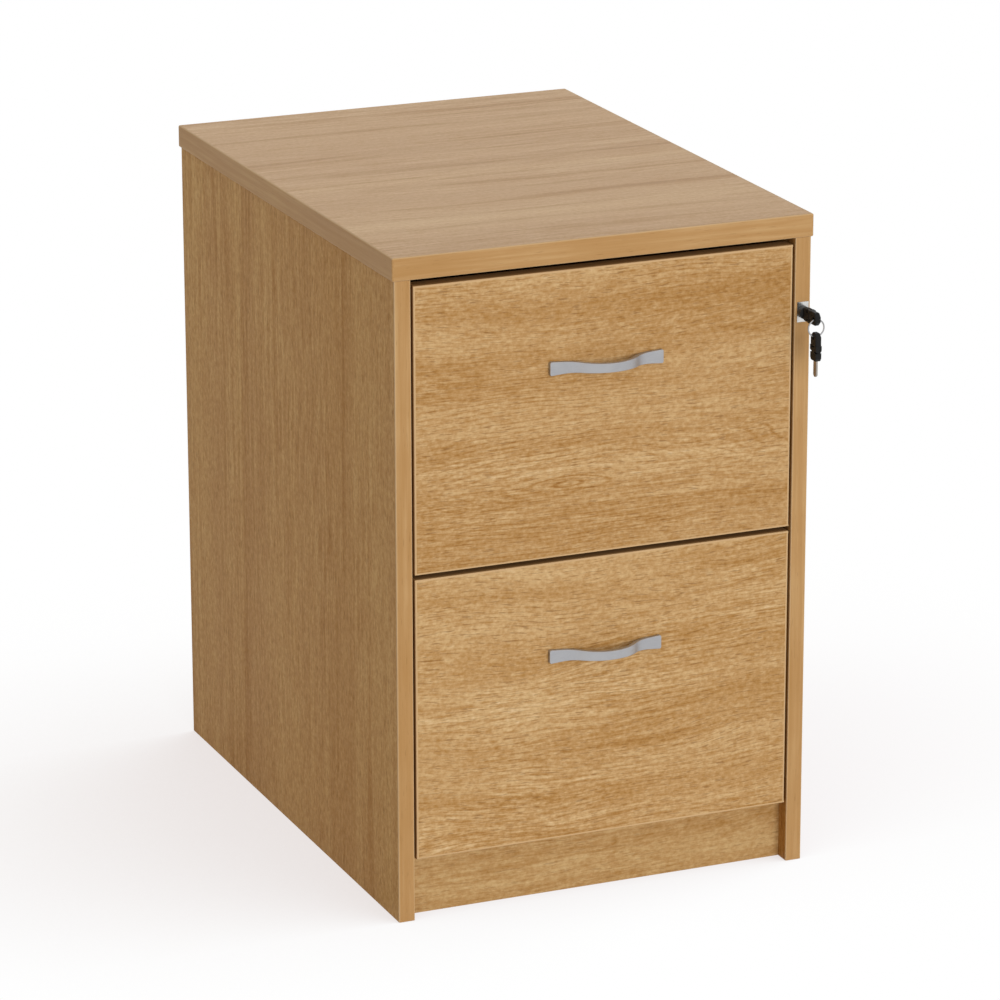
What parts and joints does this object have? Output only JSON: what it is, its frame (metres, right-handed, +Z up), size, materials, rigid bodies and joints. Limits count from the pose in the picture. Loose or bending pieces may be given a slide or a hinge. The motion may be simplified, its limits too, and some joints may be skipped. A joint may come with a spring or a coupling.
{
  "type": "filing cabinet",
  "caption": "Oak-effect filing cabinet with lockable full-extension drawers on ball runners, bow handles, hanging-file rails and folding keys on a ring.",
  "frame": {"origin": "bottom centre of the overall box, handles and keys included, on the floor", "axes": "+Z up, -Y out of the drawer fronts, +X to the right of someone facing the fronts"},
  "size_m": [0.48, 0.6934, 0.73],
  "materials": {
    "oak_board": "satin oak-effect face on particle board",
    "oak_edging": "satin oak-effect edging strip",
    "drawer_board": "satin oak-effect board",
    "beech": "plain beech dowel",
    "zinc_steel": "bright zinc plate",
    "rail_steel": "black powder coat",
    "handle_metal": "satin silver-grey coat",
    "lock_metal": "polished nickel plate",
    "dark_metal": "dark grey plate",
    "key_plastic": "black moulded plastic",
    "key_steel": "nickel-plated steel",
    "guide_plastic": "moulded nylon"
  },
  "bodies": {
    "carcass": {"top_panel": "oak_board", "top_edging": "oak_edging", "left_side": "oak_board", "right_side": "oak_board", "side_edging": "oak_edging", "back_panel": "oak_board", "base_panel": "oak_board", "plinth": "oak_board", "carcass_cams": "zinc_steel", "carcass_dowels": "beech", "runner_screws": "zinc_steel", "upper_runner_outers": "zinc_steel", "lower_runner_outers": "zinc_steel", "lock_housing": "lock_metal", "lock_bar_guides": "guide_plastic"},
    "upper_drawer": {"upper_front": "oak_board", "upper_front_edging": "oak_edging", "upper_drawer_left_side": "drawer_board", "upper_drawer_right_side": "drawer_board", "upper_drawer_back": "drawer_board", "upper_drawer_base": "drawer_board", "upper_file_rails": "rail_steel", "upper_handle": "handle_metal", "upper_handle_screws": "zinc_steel", "upper_drawer_cams": "zinc_steel", "upper_drawer_screws": "zinc_steel", "upper_runner_inners": "zinc_steel", "upper_lock_catch": "zinc_steel"},
    "upper_middle_members": {"upper_runner_middles": "zinc_steel"},
    "upper_outer_cages": {"upper_outer_ball_cages": "zinc_steel"},
    "upper_inner_cages": {"upper_inner_ball_cages": "zinc_steel"},
    "lower_drawer": {"lower_front": "oak_board", "lower_front_edging": "oak_edging", "lower_drawer_left_side": "drawer_board", "lower_drawer_right_side": "drawer_board", "lower_drawer_back": "drawer_board", "lower_drawer_base": "drawer_board", "lower_file_rails": "rail_steel", "lower_handle": "handle_metal", "lower_handle_screws": "zinc_steel", "lower_drawer_cams": "zinc_steel", "lower_drawer_screws": "zinc_steel", "lower_runner_inners": "zinc_steel", "lower_lock_catch": "zinc_steel"},
    "lower_middle_members": {"lower_runner_middles": "zinc_steel"},
    "lower_outer_cages": {"lower_outer_ball_cages": "zinc_steel"},
    "lower_inner_cages": {"lower_inner_ball_cages": "zinc_steel"},
    "locking_bar": {"lock_bar": "zinc_steel", "lock_bar_pins": "zinc_steel"},
    "plug_and_key": {"lock_plug": "dark_metal", "lock_crank": "zinc_steel", "key_blade": "key_steel", "key_holder": "key_plastic"},
    "folding_bow": {"key_bow": "key_plastic", "key_pin": "key_steel"},
    "ring": {"key_ring": "key_steel"},
    "spare_bow": {"spare_key_bow": "key_plastic", "spare_key_pin": "key_steel"},
    "spare_blade": {"spare_key_blade": "key_steel", "spare_key_holder": "key_plastic"}
  },
  "joints": [
    {"name": "upper_drawer_slide", "type": "slide", "parent": "carcass", "child": "upper_drawer", "axis": [0, -1, 0], "range_m": [0, 0.55]},
    {"name": "upper_middle_members_slide", "type": "slide", "parent": "carcass", "child": "upper_middle_members", "axis": [0, -1, 0], "range_m": [0, 0.275]},
    {"name": "upper_outer_cages_slide", "type": "slide", "parent": "carcass", "child": "upper_outer_cages", "axis": [0, -1, 0], "range_m": [0, 0.1375]},
    {"name": "upper_inner_cages_slide", "type": "slide", "parent": "carcass", "child": "upper_inner_cages", "axis": [0, -1, 0], "range_m": [0, 0.4125]},
    {"name": "lower_drawer_slide", "type": "slide", "parent": "carcass", "child": "lower_drawer", "axis": [0, -1, 0], "range_m": [0, 0.55]},
    {"name": "lower_middle_members_slide", "type": "slide", "parent": "carcass", "child": "lower_middle_members", "axis": [0, -1, 0], "range_m": [0, 0.275]},
    {"name": "lower_outer_cages_slide", "type": "slide", "parent": "carcass", "child": "lower_outer_cages", "axis": [0, -1, 0], "range_m": [0, 0.1375]},
    {"name": "lower_inner_cages_slide", "type": "slide", "parent": "carcass", "child": "lower_inner_cages", "axis": [0, -1, 0], "range_m": [0, 0.4125]},
    {"name": "lock_turn", "type": "hinge", "parent": "carcass", "child": "plug_and_key", "pos_m": [0.229, -0.30725, 0.6235], "axis": [0, -1, 0], "range_deg": [0, 90]},
    {"name": "locking_bar_lift", "type": "slide", "parent": "carcass", "child": "locking_bar", "axis": [0, 0, 1], "range_m": [0, 0.00566]},
    {"name": "key_fold", "type": "hinge", "parent": "plug_and_key", "child": "folding_bow", "pos_m": [0.229, -0.32675, 0.6235], "axis": [0, 0, 1], "range_deg": [0, 90]},
    {"name": "ring_swing", "type": "hinge", "parent": "folding_bow", "child": "ring", "pos_m": [0.229, -0.33975, 0.6235], "axis": [-1, 0, 0], "range_deg": [0, 45]},
    {"name": "spare_key_swing", "type": "hinge", "parent": "ring", "child": "spare_bow", "pos_m": [0.229, -0.33975, 0.60381], "axis": [-1, 0, 0], "range_deg": [0, 30]},
    {"name": "spare_key_fold", "type": "hinge", "parent": "spare_bow", "child": "spare_blade", "pos_m": [0.229, -0.33975, 0.59081], "axis": [0, -1, 0], "range_deg": [0, 90]}
  ],
  "couplings": [
    {"joint": "upper_middle_members_slide", "follows": "upper_drawer_slide", "ratio": 0.5},
    {"joint": "upper_outer_cages_slide", "follows": "upper_drawer_slide", "ratio": 0.25},
    {"joint": "upper_inner_cages_slide", "follows": "upper_drawer_slide", "ratio": 0.75},
    {"joint": "lower_middle_members_slide", "follows": "lower_drawer_slide", "ratio": 0.5},
    {"joint": "lower_outer_cages_slide", "follows": "lower_drawer_slide", "ratio": 0.25},
    {"joint": "lower_inner_cages_slide", "follows": "lower_drawer_slide", "ratio": 0.75},
    {"joint": "lock_turn", "follows": "locking_bar_lift", "rad_per_m": 277.68}
  ]
}
